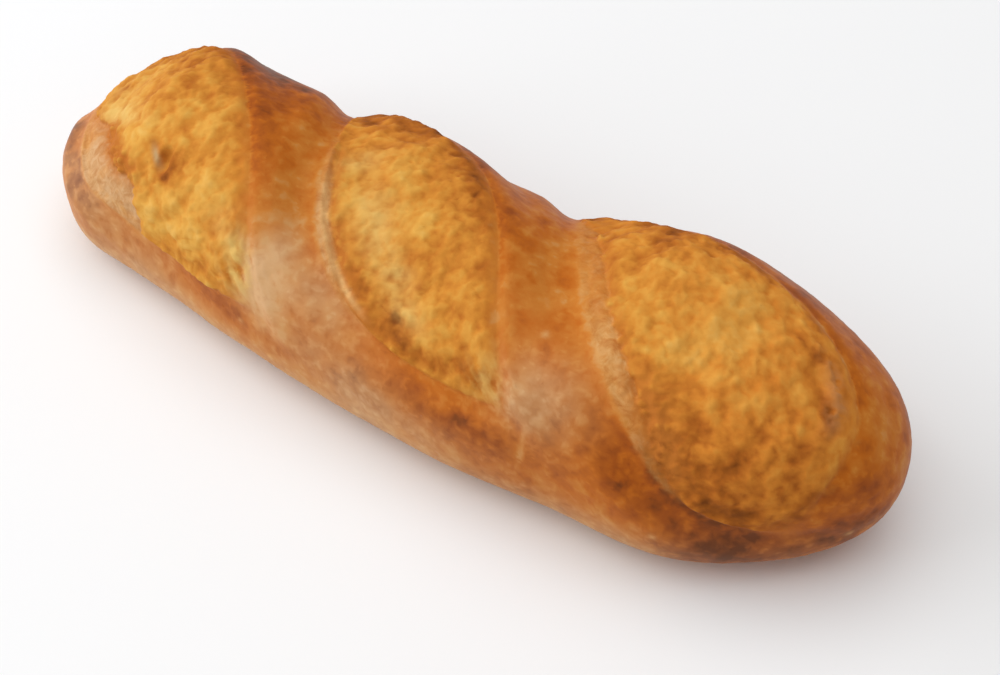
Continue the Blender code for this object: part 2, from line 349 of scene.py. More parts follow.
def body_points(x, angle):
    """Points of the plain loaf. angle is 0 on the crest and grows towards the far side."""
    plan_end = end_rounding(x, LEFT_END, RIGHT_END)
    crest_end = end_rounding(x, LEFT_SLOPE, RIGHT_SLOPE)
    plan_round = np.sqrt(np.clip(1 - plan_end**2, 0, 1))
    crest_round = np.sqrt(np.clip(1 - crest_end**2, 0, 1))
    under_round = np.clip(1 - plan_end**SQUARENESS_END, 0, 1) ** (1 / SQUARENESS_END)

    share = x / (LENGTH / 2)
    height = HEIGHT * (1 + TAPER * share) + BASE_CUT
    widest = WIDEST_AT * height
    near_bulge = bulge_height(NEAR_BULGES, x)
    top_bulge = bulge_height(TOP_BULGES, x)
    across, up = np.sin(angle), np.cos(angle)
    above = up >= 0
    half_width = WIDTH / 2 * (1 + TAPER * share)
    half_width = half_width + np.where(across < 0, near_bulge, TOP_BULGE_SPREAD * top_bulge)

    y = np.where(above, power(across, 2 / SQUARENESS_TOP), power(across, 2 / SQUARENESS_BASE))
    top = (height - widest) * crest_round * np.abs(up) ** (2 / SQUARENESS_TOP)
    top = top * (1 + top_bulge / TOP_BULGE_FULL)
    under = widest * under_round * np.abs(up) ** (2 / SQUARENESS_BASE)
    z = np.maximum(widest + np.where(above, top, -under) - BASE_CUT, 0)
    return np.stack([x, BOW * share**2 + half_width * plan_round * y, z], axis=-1)


def path_lengths(points):
    steps = np.linalg.norm(np.diff(points, axis=0), axis=1)
    return np.concatenate([[0], np.cumsum(steps)])


def girth_of(angle):
    angles = np.linspace(-math.pi, math.pi, TABLE_POINTS)
    lengths = path_lengths(body_points(np.zeros(TABLE_POINTS), angles))
    return np.interp(angle, angles, lengths - lengths[TABLE_POINTS // 2])


def stations(shares):
    x = LENGTH / 2 * np.sin(np.linspace(-math.pi / 2, math.pi / 2, TABLE_POINTS))
    lengths = path_lengths(body_points(x, np.full(TABLE_POINTS, math.pi / 2)))
    return np.interp(shares, lengths / lengths[-1], x)


def girth_angles(shares):
    angles = np.linspace(-math.pi, math.pi, TABLE_POINTS)
    density = 1 + (CREST_DENSITY - 1) * (1 + np.cos(angles)) / 2
    running = np.concatenate([[0], np.cumsum((density[1:] + density[:-1]) / 2)])
    return np.interp(shares, running / running[-1], angles)


# ---------------------------------------------------------------- slashes on the crust's map


def side_offset(side, share):
    return side.width * np.sin(math.pi * np.clip(share, 0, 1) ** side.skew) ** side.fullness


def distance_to_path(path, x, girth):
    nearest = np.full(x.shape, np.inf)
    for start, end in zip(path[:-1], path[1:]):
        step = end - start
        from_x, from_girth = x - start[0], girth - start[1]
        t = np.clip((from_x * step[0] + from_girth * step[1]) / (step @ step), 0, 1)
        nearest = np.minimum(nearest, (from_x - t * step[0]) ** 2 + (from_girth - t * step[1]) ** 2)
    return np.sqrt(nearest)


def slash_distances(slash, x, girth):
    """(share of the way to the near tip, distance in from the left side, and from the right side)."""
    far, near = np.array(slash.far_tip), np.array(slash.near_tip)
    length = np.hypot(*(near - far))
    along = (near - far) / length
    leftward = np.array([along[1], -along[0]])
    share = ((x - far[0]) * along[0] + (girth - far[1]) * along[1]) / length
    across = (x - far[0]) * leftward[0] + (girth - far[1]) * leftward[1]

    distances = []
    shares = np.linspace(0, 1, EDGE_POINTS)
    for side, sign in ((slash.left, 1), (slash.right, -1)):
        offsets = sign * side_offset(side, shares)
        path = far + np.outer(shares * length, along) + np.outer(offsets, leftward)
        path = np.vstack([far - along * length, path, near + along * length])
        inside = side_offset(side, share) > sign * across
        distances.append(np.where(inside, 1, -1) * distance_to_path(path, x, girth))
    return share, distances[0], distances[1]


def fractal(points, size, octaves):
    scaled = (points / size).tolist()
    return np.array([noise.fractal(p, FRACTAL_FADE, FRACTAL_STEP, octaves) for p in scaled])


class Pattern(NamedTuple):
    """Fractal noise on the crust. The offset keeps it apart from the other patterns."""

    offset: tuple
    size: float
    octaves: int


class Dots(NamedTuple):
    """Small round marks spread over the crust."""

    offset: tuple
    cell: float
    size: float
    keep: float  # share of the cells that have one


LUMPS = Pattern((0.3, 0.1, 0.2), 0.0046, 3)
WARP = Pattern((0.7, 0.4, 0.1), 0.0130, 2)
BROAD = Pattern((0.5, 0.2, 0.8), 0.0280, 2)
MEDIUM = Pattern((0.6, 0.8, 0.4), 0.0027, 2)
GATE = Pattern((0.8, 0.6, 0.3), 0.0075, 2)
FLECKS = Pattern((0.4, 0.2, 0.6), 0.0036, 3)
NUBS = Dots((0.21, 0.15, 0.42), 0.0034, 0.0014, 1.0)
PORES = Dots((0.11, 0.35, 0.02), 0.0075, 0.0011, 0.30)
PIMPLES = Dots((0.45, 0.15, 0.32), 0.0100, 0.0011, 0.22)

CUT_SIZE = 0.0075
CUT_BEND = (0.55, np.array([1.0, 0.8, -0.6]))  # how far the warp bends the cuts, and which way
CUT_WIDTH = 0.10
CUT_GATE = (0.05, 0.45)
STREAK_RUN = (0.64, -0.77)  # direction of the streaks on the crust's map
STREAK_ASPECT = 2.6  # how many times longer than wide they are
STREAK_SIZE = 0.0075
STREAK_BEND = 0.0016
DRAW_RATES = (12.9898, 78.233, 37.719)  # turn a cell's middle into a number that looks random
DRAW_SCALE = 43758.5453


class Texture(NamedTuple):
    """Noise at each point that the relief and the colours share."""

    crags: Field  # height of the crumb's main forms, in metres
    lumps: Field
    medium: Field
    broad: Field
    gate: Field  # high where the crumb is cut up
    flecks: Field
    streaks: Field  # run along the skin that stretched at the slashes' near tips
    cuts: Field  # 1 in thin cuts
    nubs: Field  # 1 in the middle of each lump beside a strip
    pores: Field
    pimples: Field


class Crust(NamedTuple):
    """What the loaf's surface is like at each point, for its relief and its material."""

    height: Field
    crumb: Field  # 1 on the torn crumb
    strip: Field  # 1 on the pale strip beside a lip
    blush: Field  # how pink that strip is
    crest: Field  # 1 where a highlight is painted on the crest of a lip
    tone: Field  # how light the crumb is
    warm: Field  # how far the crumb turns from golden to orange
    toast_and_shade: Field  # crumb edges that baked to orange brown, and painted shade in the groove past a strip
    pale: Field  # crumb that opened last and stayed pale
    film: Field  # dull skin at the side of the pit
    lilac: Field  # pinkish skin on the crumb's fold
    bake: Field  # how dark the smooth crust is, with painted shade, sheen and highlights in it
    painted_sheen: Field  # painted sheen on the smooth crust: a dull pinkish colour in place of the light's reflection
    spots: Field  # light pimples


class Patch(NamedTuple):
    """An oval place on the crust's map."""

    x: float
    girth: float
    length: float
    width: float
    turn: float  # degrees
    strength: float


class StripLook(NamedTuple):
    """How one slash looks beside its lip."""

    pinkness: float
    lip: float  # how much the lip stands out, as a share of the solid's
    sunk: float  # how deep the strip lies, as a share of the solid's
    groove: float  # how deep the groove past the strip is, as a share of the solid's
    ragged: float  # how far lumps push the strip's edge about, as a share
    lumps: float  # height of the lumps where the crumb starts
    lumps_width: float
    lumps_ends: tuple  # shares of the way to the near tip between which they show
    pale_ends: tuple  # and between which the strip is at its palest
    crest: float  # how strong the painted highlight on the lip's crest is


STRIP_LOOKS = (
    StripLook(1.00, 0.45, 0.9, 0.15, 1.2, 0.0018, 0.0050, (0.41, 0.62), (0.42, 0.74), 0.15),
    StripLook(0.45, 0.9, 0.2, 1.0, 0.4, 0.0004, 0.0034, (0.46, 0.72), (0.36, 0.66), 0.85),
    StripLook(0.25, 0.9, 0.3, 0.6, 0.8, 0.0009, 0.0048, (0.60, 0.78), (0.44, 0.67), 0.12),
)

PALE_PATCHES = (
    Patch(-0.132, -0.014, 0.01, 0.0065, 0, 0.95),
    Patch(-0.138, 0.002, 0.013, 0.013, 0, 0.35),
    Patch(-0.124, -0.018, 0.013, 0.003, 0, 0.7),
    Patch(0.0, -0.024, 0.005, 0.0028, 0, 0.5),
    Patch(-0.062, -0.038, 0.008, 0.006, 0, 0.35),
    Patch(-0.038, 0.008, 0.005, 0.009, -40, 0.6),
    Patch(-0.02, -0.01, 0.015, 0.008, -45, 0.55),
    Patch(-0.008, -0.022, 0.019, 0.005, -40, 0.55),
    Patch(0.009, -0.034, 0.008, 0.004, -25, 0.5),
    Patch(-0.05, -0.048, 0.006, 0.011, 10, 0.85),
    Patch(0.047, -0.042, 0.0055, 0.009, 10, 0.75),
)
GOLDEN_PATCHES = (
    Patch(0.1235, -0.008, 0.0028, 0.0075, 0, 0.25),
    Patch(0.086, -0.006, 0.0055, 0.0035, 0, 0.25),
    Patch(-0.088, -0.048, 0.022, 0.01, -15, 0.24),
    Patch(-0.072, -0.026, 0.01, 0.015, 0, 0.2),
    Patch(-0.114, -0.027, 0.006, 0.008, 0, 0.3),
    Patch(-0.01, -0.006, 0.016, 0.012, -45, 0.14),
    Patch(0.103, 0.003, 0.009, 0.015, 0, 0.34),
    Patch(0.092, -0.016, 0.012, 0.008, -30, 0.32),
)
# Darker, browner crumb. Low on the near side of the bursts, most of all towards the right end, this is
# partly painted shade; the rest is browner crumb.
BROWNED_AND_SHADED_PATCHES = (
    Patch(0.006, -0.0355, 0.02, 0.003, 0, 0.25),
    Patch(0.037, -0.043, 0.008, 0.0045, 0, 0.36),
    Patch(0.098, -0.046, 0.01, 0.0045, -40, 0.42),
    Patch(0.01, 0.023, 0.012, 0.006, 0, 0.22),
    Patch(0.008, -0.043, 0.006, 0.003, 0, 0.22),
    Patch(-0.129, -0.028, 0.015, 0.0055, -30, 0.3),
    Patch(-0.091, -0.03, 0.0045, 0.007, 0, 0.3),
    Patch(-0.066, -0.056, 0.018, 0.005, 0, 0.16),
    Patch(-0.014, -0.031, 0.012, 0.004, -50, 0.25),
    Patch(0.008, -0.044, 0.016, 0.005, -15, 0.3),
    Patch(0.04, -0.046, 0.01, 0.006, -10, 0.14),
    Patch(0.004, 0.016, 0.027, 0.009, -35, 0.2),
    Patch(0.1, -0.05, 0.009, 0.005, 0, 0.22),
    Patch(0.122, -0.046, 0.025, 0.011, -20, 0.2),
    Patch(0.126, -0.062, 0.018, 0.0055, -20, 0.3),
    Patch(0.103, -0.04, 0.003, 0.003, 0, 0.3),
    Patch(0.14, -0.05, 0.002, 0.008, -20, 0.3),
    Patch(0.054, 0.016, 0.006, 0.008, -30, 0.12),
    Patch(0.137, -0.015, 0.005, 0.022, 0, 0.08),
    Patch(0.07, 0.014, 0.011, 0.007, 0, 0.1),
)
# Dark spots of painted shade in hollows of the crumb: beside the pit, along the fold's groove and in other
# hollows
SHADE_SPOT_PATCHES = (
    Patch(-0.094, -0.03, 0.0034, 0.0042, 40, 0.24),
    Patch(-0.093, -0.036, 0.003, 0.002, 0, 0.34),
    Patch(0.0045, -0.037, 0.0022, 0.0015, -30, 0.42),
    Patch(0.0078, -0.0262, 0.0024, 0.0016, 0, 0.36),
    Patch(0.118, 0.008, 0.0034, 0.0022, -30, 0.22),
    Patch(0.124, 0.0055, 0.0022, 0.0026, 0, 0.38),
    Patch(0.1345, -0.0135, 0.002, 0.0075, 20, 0.36),
    Patch(0.1265, -0.032, 0.003, 0.004, 0, 0.16),
    Patch(0.134, -0.03, 0.0034, 0.0045, 20, 0.34),
    Patch(0.1335, -0.049, 0.0016, 0.0045, 20, 0.24),
    Patch(0.141, -0.06, 0.0042, 0.0016, -30, 0.32),
)
FILM_PATCHES = (
    Patch(-0.1005, -0.03, 0.0012, 0.004, 40, 0.75),
)
TIP_PATCHES = (
    Patch(-0.048, -0.049, 0.009, 0.012, 35, 1.0),
    Patch(0.046, -0.045, 0.008, 0.0095, 35, 0.9),
)
# Places where the sheen of the light on the crust is painted into its colour
SHEEN_PATCHES = (
    Patch(0.125, -0.084, 0.038, 0.011, 0, 0.75),
    Patch(-0.043, -0.051, 0.0135, 0.0125, 0, 1.2),
    Patch(-0.04, -0.035, 0.007, 0.008, -20, 0.35),
    Patch(-0.14, -0.048, 0.015, 0.015, 0, 0.7),
    Patch(0.004, -0.072, 0.035, 0.009, 0, 0.35),
    Patch(-0.02, -0.043, 0.013, 0.009, -20, 0.6),
    Patch(-0.012, -0.062, 0.028, 0.012, -10, 0.7),
    Patch(0.014, -0.072, 0.016, 0.009, 0, 0.45),
    Patch(0.061, -0.046, 0.015, 0.012, -10, 1.0),
    Patch(0.03, -0.067, 0.04, 0.007, 0, 0.35),
    Patch(-0.15, -0.04, 0.012, 0.022, 0, 1.0),
    Patch(-0.128, -0.058, 0.02, 0.012, -20, 0.7),
    Patch(-0.095, -0.072, 0.035, 0.01, 0, 0.55),
)
# Darker and lighter places of the crust. The darker ones at the lower right end and along the near side
# below the bursts are painted shade; the lighter ones beside the slashes' near tips are partly painted
# sheen; the rest are baking.
BAKE_AND_SHADE_PATCHES = (
    Patch(0.14, -0.048, 0.004, 0.012, -20, 0.5),
    Patch(0.112, -0.06, 0.022, 0.0032, -32, 0.42),
    Patch(0.124, -0.079, 0.012, 0.011, 0, 0.45),
    Patch(0.062, -0.078, 0.035, 0.011, 0, 0.16),
    Patch(-0.043, -0.03, 0.007, 0.012, -20, -0.22),
    Patch(-0.14, -0.05, 0.013, 0.011, 0, 0.16),
    Patch(-0.13, -0.055, 0.007, 0.004, -30, 0.25),
    Patch(0.154, -0.04, 0.005, 0.016, 0, 0.22),
    Patch(0.096, -0.048, 0.006, 0.004, -40, 0.35),
    Patch(-0.051, -0.048, 0.003, 0.009, 35, -0.35),
    Patch(0.0585, -0.063, 0.0012, 0.0045, 0, -0.6),
    Patch(0.045, -0.014, 0.007, 0.011, -35, -0.18),
    Patch(-0.052, -0.018, 0.008, 0.009, -30, -0.2),
    Patch(0.136, -0.061, 0.006, 0.004, 0, 0.4),
    Patch(-0.097, 0.034, 0.023, 0.018, -25, 0.48),
    Patch(-0.076, 0.01, 0.011, 0.012, 0, 0.12),
    Patch(-0.1, -0.064, 0.016, 0.005, 0, -0.12),
    Patch(-0.062, -0.066, 0.016, 0.006, 0, 0.26),
    Patch(0.012, -0.058, 0.03, 0.006, 0, 0.08),
    Patch(0.04, -0.062, 0.024, 0.0065, 0, 0.27),
    Patch(0.095, -0.06, 0.02, 0.01, -20, 0.3),
    Patch(0.136, -0.08, 0.03, 0.013, 0, 0.2),
    Patch(0.151, -0.073, 0.0065, 0.019, 0, 0.36),
    Patch(-0.152, -0.042, 0.011, 0.015, -20, 0.3),
    Patch(-0.044, -0.05, 0.011, 0.014, 0, -0.42),
    Patch(-0.02, -0.044, 0.013, 0.008, -20, -0.14),
    Patch(0.052, -0.04, 0.005, 0.013, 0, -0.2),
    Patch(0.038, 0.002, 0.008, 0.012, -35, -0.12),
)


def in_patches(patches, x, girth):
    total = np.zeros(x.shape)
    for patch in patches:
        turn = math.radians(patch.turn)
        along = (x - patch.x) * math.cos(turn) + (girth - patch.girth) * math.sin(turn)
        across = (girth - patch.girth) * math.cos(turn) - (x - patch.x) * math.sin(turn)
        near = (along / patch.length) ** 2 + (across / patch.width) ** 2
        total = total + patch.strength * np.exp(-near)
    return total


def drawn(pattern, points):
    return fractal(points + np.array(pattern.offset), pattern.size, pattern.octaves)


def dots(marks, points):
    """1 in the middle of each kept cell, fading out over the marks' size."""
    distances, kept = [], []
    for p in ((points + np.array(marks.offset)) / marks.cell).tolist():
        found, middles = noise.voronoi(p)
        distances.append(found[0])
        middle = middles[0]
        wave = middle[0] * DRAW_RATES[0] + middle[1] * DRAW_RATES[1] + middle[2] * DRAW_RATES[2]
        draw = math.sin(wave) * DRAW_SCALE
        kept.append(draw - math.floor(draw) < marks.keep)
    return bump(np.array(distances) * marks.cell, marks.size) * np.array(kept, float)


def crust_texture(points, x, girth):
    warp = drawn(WARP, points)[:, None]
    gate = drawn(GATE, points)
    bend, bend_axis = CUT_BEND
    creased = points / CUT_SIZE + bend * warp * bend_axis
    lines = np.array([noise.noise(p) for p in creased.tolist()])
    along = STREAK_RUN[0] * x + STREAK_RUN[1] * girth
    across = STREAK_RUN[0] * girth - STREAK_RUN[1] * x
    run = np.stack([along, STREAK_ASPECT * across, np.zeros(x.shape)], axis=-1)
    return Texture(
        crags=CRAG_HEIGHT * fractal(points, CRAG_SIZE, 3),
        lumps=drawn(LUMPS, points),
        medium=drawn(MEDIUM, points),
        broad=drawn(BROAD, points),
        gate=gate,
        flecks=drawn(FLECKS, points),
        streaks=fractal(run + STREAK_BEND * warp, STREAK_SIZE, 3),
        cuts=bump(lines, CUT_WIDTH) * smooth(*CUT_GATE, gate),
        nubs=dots(NUBS, points),
        pores=dots(PORES, points),
        pimples=dots(PIMPLES, points),
    )


def weighed(texture, weights, start=0.0):
    """start, with each named noise added as often as its weight says."""
    total = start
    for name, weight in weights.items():
        total = total + weight * getattr(texture, name)
    return total


class Place(NamedTuple):
    """Where each point lies on one slash."""

    share: Field  # of the way to the near tip
    left: Field  # distance in from the left side
    right: Field
    strip: Field  # 1 alongside the strip, 0 past its ends
    strip_width: Field
    past_strip: Field  # distance past the strip
    ragged: Field  # how far noise moves the strip's edge
    opened: Field  # 1 between the ends of the slash
    clear: Field  # 1 well clear of the right side
    edge: Field  # 1 on the lumps at the strip's edge
    on_crumb: Field  # 1 past the step from the strip up to the crumb


def slash_place(slash, look, texture, x, girth):
    share, left, right = slash_distances(slash, x, girth)
    strip = window(slash.strip_ends, STRIP_FADE, share)
    strip_width = slash.strip_width * strip
    past_strip = left - strip_width
    ragged = look.ragged * weighed(texture, RAGGED)
    lumpy = bump(past_strip - look.lumps_width / 2, look.lumps_width)
    return Place(
        share, left, right, strip, strip_width, past_strip, ragged,
        opened=window(OPEN_ENDS, OPEN_FADE, share),
        clear=smooth(0, LIP_CLEARANCE, right),
        edge=lumpy * window(look.lumps_ends, LUMPS_FADE, share),
        on_crumb=smooth(-STEP_WIDTH / 2, STEP_WIDTH / 2, past_strip + ragged),
    )


def burst_relief(slash, look, texture, place):
    """Heights that one slash adds to the crust."""
    share, left, right, strip = place.share, place.left, place.right, place.strip
    width = np.maximum(left + right, LEAST_WIDTH)
    climb = np.clip((left + BLEND) / (width + 2 * BLEND), 0, 1)
    step = slash.rise * smooth(RISE_START, 1, climb) - slash.drop * smooth(RUN, 0, climb)
    spread = smooth(REACH, 0, np.maximum(-left, -right))
    step = step * spread * smooth(*STEP_FAR_FADE, share) * smooth(*STEP_NEAR_FADE, share)

    inside = smooth(0, SIDE_FADE, np.minimum(left, right)) * place.opened
    dome = np.sin(math.pi * np.clip(left / width, 0, 1) ** slash.swell_skew)
    swell = slash.swell * dome * smooth(0, SWELL_WIDTH, width) * inside

    lip = LIP_HEIGHT * look.lip * bump(left - LIP_INSET, np.where(left < LIP_INSET, LIP_RUN, LIP_EDGE))
    groove = -GROOVE_DEPTH * look.groove * bump(place.past_strip - GROOVE_INSET, GROOVE_WIDTH)
    edge_forms = (lip + groove) * mix(LIP_PAST_STRIP, 1, strip) * place.opened * place.clear

    crown_at = STRIP_CROWN_AT * place.strip_width
    crown = STRIP_CROWN * bump(left - crown_at, STRIP_CROWN_WIDTH * slash.strip_width)
    shelf = weighed(texture, STRIP_RELIEF, crown * strip - STRIP_DEPTH * look.sunk * strip)
    shelf = shelf * (1 - place.on_crumb) * inside

    rough = weighed(texture, CRUMB_RELIEF) + look.lumps * place.edge * (texture.nubs - 0.5)
    crumb = (CRUMB_RISE + rough) * place.on_crumb * inside
    crumb = crumb * smooth(0, CRUMB_CLEARANCE, right) * smooth(0, CRUMB_FULL_WIDTH, width)
    crease = -CREASE_SHARE * CREASE_DEPTH * bump(right, CREASE_WIDTH) * place.opened
    crease = crease * smooth(0, LIP_CLEARANCE, left)
    return step, swell, edge_forms, shelf, crumb, crease


class Looks(NamedTuple):
    """How far each colour of one slash shows."""

    crumb: Field
    strip: Field
    blush: Field
    crest: Field
    toast_and_shade: Field
    lip: Field  # 1 along the lip, where a highlight is painted on the crust
    browned: Field  # 1 on the crust at the right side, fading out past it
    rim: Field  # 1 on the crumb at the right side


def pale_strip(look, texture, place):
    pale_width = PALE_WIDTH * window(look.pale_ends, PALE_WIDTH_FADE, place.share)
    pale_width = np.maximum(place.strip_width, pale_width)
    past_pale = place.left - pale_width + place.ragged + PALE_RAGGED * texture.medium
    pale = smooth(PALE_EDGE, -PALE_EDGE, past_pale) * smooth(*PALE_START, place.left) * place.clear
    palest = window(look.pale_ends, PALE_FADE, place.share)
    pale = pale * mix(STRIP_LEAST, 1, palest) * smooth(*STRIP_SHOWS, place.strip)
    return pale * (1 - STRIP_BROKEN * place.edge * smooth(*STRIP_BROKEN_BY, texture.lumps))


def toasted_and_shaded_edges(look, texture, place):
    everywhere, in_lumps = TOASTED_LUMPS
    lumps = place.edge * (everywhere + in_lumps * texture.nubs)
    # the line in the groove past the strip: partly browning, partly painted shade
    line = bump(place.past_strip - TOAST_AND_SHADE_INSET, TOAST_AND_SHADE_WIDTH) * smooth(*TOAST_AND_SHADE_LINE_SHOWS, place.strip)
    return np.maximum(lumps, TOAST_AND_SHADE_LINE * look.groove * line * place.on_crumb)


def burst_looks(look, texture, place):
    left, right = place.left, place.right
    pale = pale_strip(look, texture, place)
    torn = smooth(0, SIDE_FADE, left) * place.opened
    torn = torn * smooth(*TORN_RIGHT, right + TORN_RAGGED * texture.lumps)
    past_edge = place.past_strip + place.ragged + CRUMB_RAGGED * texture.medium
    crumb = smooth(-CRUMB_EDGE, CRUMB_EDGE, past_edge) * torn
    crest = bump(left - CREST_HIGHLIGHT_INSET, CREST_HIGHLIGHT_WIDTH) * window(look.pale_ends, CREST_HIGHLIGHT_FADE, place.share)
    browned = np.exp(-np.maximum(-right, 0) / BROWNED_RUN) * (right < 0)
    return Looks(
        crumb=crumb * mix(1, CRUMB_ON_STRIP, pale),
        strip=pale,
        blush=look.pinkness * pale,
        crest=look.crest * crest * place.clear,
        toast_and_shade=toasted_and_shaded_edges(look, texture, place) * torn,
        lip=bump(left + LIP_HIGHLIGHT_SHIFT, LIP_HIGHLIGHT_WIDTH) * place.strip * place.clear,
        browned=browned * window(BROWNED_ENDS, BROWNED_FADE, place.share),
        rim=smooth(*RIM_RUN, right) * place.on_crumb * torn,
    )


def pit_relief(x, girth):
    across, along = (x - PIT_X) / PIT_LENGTH, (girth - PIT_GIRTH) / PIT_GIRTH_SIZE
    return -PIT_SHARE * PIT_DEPTH * np.exp(-((across**2 + along**2) ** 2))


class Fold(NamedTuple):
    """The torn fold in the last burst."""

    relief: Field
    band: Field  # 1 on the pinkish skin of its lip
    rim: Field  # 1 on the warm crumb between it and the crust


def torn_fold(texture, x, girth):
    share, left, right = slash_distances(SLASHES[-1], x, girth)
    clear = smooth(0, FOLD_CLEARANCE, left)
    lip = FOLD_LIP_HEIGHT * bump(right - FOLD_LIP_INSET, FOLD_WIDTH)
    groove = -FOLD_DEPTH * bump(right - FOLD_INSET, FOLD_WIDTH)
    folded = window(FOLD_ENDS, FOLD_FADE, share) * clear
    band = bump(right - FOLD_LIP_INSET + BAND_SHIFT, BAND_WIDTH) * window(BAND_ENDS, BAND_FADE, share)
    rim = bump(right - FOLD_RIM_INSET, FOLD_RIM_WIDTH) * window(FOLD_RIM_ENDS, FOLD_RIM_FADE, share)
    everywhere, with_lumps = FOLD_LEVEL
    return Fold(
        relief=(lip + groove) * folded * (everywhere + with_lumps * texture.lumps),
        band=band * clear * smooth(*BAND_BROKEN_BY, texture.lumps),
        rim=rim * clear,
    )


def crumb_tone(texture, rim, fold_rim, x, girth):
    everywhere, with_lumps = RIM_TONE
    tone = weighed(texture, TONE_NOISE, CRUMB_TONE) + rim * (everywhere + with_lumps * texture.lumps)
    # lighter and darker crumb; the darker places low on the near side are partly painted shade
    tone = tone + in_patches(GOLDEN_PATCHES, x, girth) - in_patches(BROWNED_AND_SHADED_PATCHES, x, girth)
    # painted shade in the crumb's hollows
    tone = tone - in_patches(SHADE_SPOT_PATCHES, x, girth)
    return tone + FAR_TONE * smooth(*FAR_CRUMB, girth) + FOLD_RIM_TONE * fold_rim


def crumb_warmth(rim, fold_rim, x, girth):
    far_side = smooth(*FAR_WARM, girth) * smooth(*FAR_WARM_FROM, x)
    warmth = smooth(*RIGHT_WARM, x) + FAR_WARMTH * far_side
    return warmth + RIM_WARMTH * rim + FOLD_RIM_WARMTH * fold_rim


def crust_bake_and_painted_light(texture, browned, lip, low, tip_streaks, x, girth):
    far_side = smooth(*FAR_CRUST, girth) * smooth(*FAR_CRUST_END, girth)
    # darker and lighter places, partly painted shade and sheen
    bake = weighed(texture, BAKE_NOISE, CRUST_BAKE) + in_patches(BAKE_AND_SHADE_PATCHES, x, girth)
    bake = bake + BROWNED_BAKE * browned + FAR_BAKE * far_side + NEAR_SHEEN_BAKE * low + LIP_HIGHLIGHT_BAKE * lip
    bake = bake + LIGHT_FLECK_BAKE * smooth(*LIGHT_FLECKS, texture.flecks)
    bake = bake + DARK_FLECK_BAKE * smooth(*DARK_FLECKS, texture.flecks)
    return bake + STREAK_BAKE * tip_streaks


def crust_fields(points, x, girth):
    texture = crust_texture(points, x, girth)
    height = WAVE_HEIGHT * fractal(points, WAVE_SIZE, 2)
    bursts = []
    for slash, look in zip(SLASHES, STRIP_LOOKS):
        place = slash_place(slash, look, texture, x, girth)
        for added in burst_relief(slash, look, texture, place):
            height = height + added
        bursts.append(burst_looks(look, texture, place))
    most = Looks(*np.max(bursts, axis=0))

    fold = torn_fold(texture, x, girth)
    rim = most.rim * (1 - fold.rim)
    plain = 1 - np.maximum(most.crumb, most.strip)
    tips = in_patches(TIP_PATCHES, x, girth)
    tip_streaks = tips * texture.streaks
    # painted sheen along the near side, fading out towards the right end
    low = smooth(*NEAR_SHEEN_GIRTHS, girth) * smooth(*NEAR_SHEEN_END, x)
    height = height + pit_relief(x, girth) + fold.relief
    height = height + plain * weighed(texture, SKIN_RELIEF) + STREAK_RELIEF * tip_streaks
    height = height * smooth(0, RELIEF_FLOOR, points[:, 2])

    pale = in_patches(PALE_PATCHES, x, girth) * weighed(texture, PALE_NOISE, PALE_LEVEL)
    # how strong the painted sheen is
    sheen_amount = weighed(texture, SHEEN_NOISE, SHEEN_LEVEL) + STREAK_SHEEN * tip_streaks
    return Crust(
        height=height,
        crumb=most.crumb,
        strip=most.strip,
        blush=sum(one.blush for one in bursts),
        crest=most.crest,
        tone=crumb_tone(texture, rim, fold.rim, x, girth),
        warm=crumb_warmth(rim, fold.rim, x, girth),
        toast_and_shade=most.toast_and_shade,
        pale=pale + TIP_PALE[0] * tips + TIP_PALE[1] * tip_streaks,
        film=in_patches(FILM_PATCHES, x, girth),
        lilac=BAND_STRENGTH * fold.band,
        bake=crust_bake_and_painted_light(texture, most.browned, most.lip, low, tip_streaks, x, girth),
        painted_sheen=(in_patches(SHEEN_PATCHES, x, girth) + NEAR_SHEEN_LEVEL * low) * sheen_amount,
        spots=texture.pimples * plain,
    )


# ---------------------------------------------------------------- mesh


def read_vectors(mesh, name):
    values = np.empty(len(mesh.vertices) * 3, np.float32)
    mesh.vertices.foreach_get(name, values)
    return values.reshape(-1, 3).astype(float)


def move_vertices(mesh, points):
    mesh.vertices.foreach_set("co", points.astype(np.float32).ravel())
    mesh.update()


def loaf_mesh():
    """A unit sphere with its poles at the loaf's ends and every point moved onto the crust."""
    made = bmesh.new()
    bmesh.ops.create_uvsphere(made, u_segments=SEGMENTS, v_segments=RINGS, radius=1)
    mesh = bpy.data.meshes.new("loaf_fine")
    made.to_mesh(mesh)
    made.free()

    sphere = read_vectors(mesh, "co")
    latitude = np.arcsin(np.clip(sphere[:, 2], -1, 1))
    longitude = np.arctan2(sphere[:, 1], sphere[:, 0])
    x = stations(0.5 + latitude / math.pi)
    angle = girth_angles(0.5 - longitude / (2 * math.pi))
    plain = body_points(x, angle)
    move_vertices(mesh, plain)

    crust = crust_fields(plain, x, girth_of(angle))
    points = plain + read_vectors(mesh, "normal") * crust.height[:, None]
    points[:, 2] = np.maximum(points[:, 2], 0)
    points[:, :2] -= CENTRE
    move_vertices(mesh, points)
    return mesh, points, crust


def thinned(mesh, triangles):
    obj = bpy.data.objects.new("thinning", mesh)
    bpy.context.scene.collection.objects.link(obj)
    full = sum(len(face.vertices) - 2 for face in mesh.polygons)
    modifier = obj.modifiers.new("thin", "DECIMATE")
    modifier.ratio = min(1.0, triangles / full)
    modifier.use_collapse_triangulate = True
    graph = bpy.context.evaluated_depsgraph_get()
    thin = bpy.data.meshes.new_from_object(obj.evaluated_get(graph))
    bpy.data.objects.remove(obj)
    bpy.data.meshes.remove(mesh)
    return thin


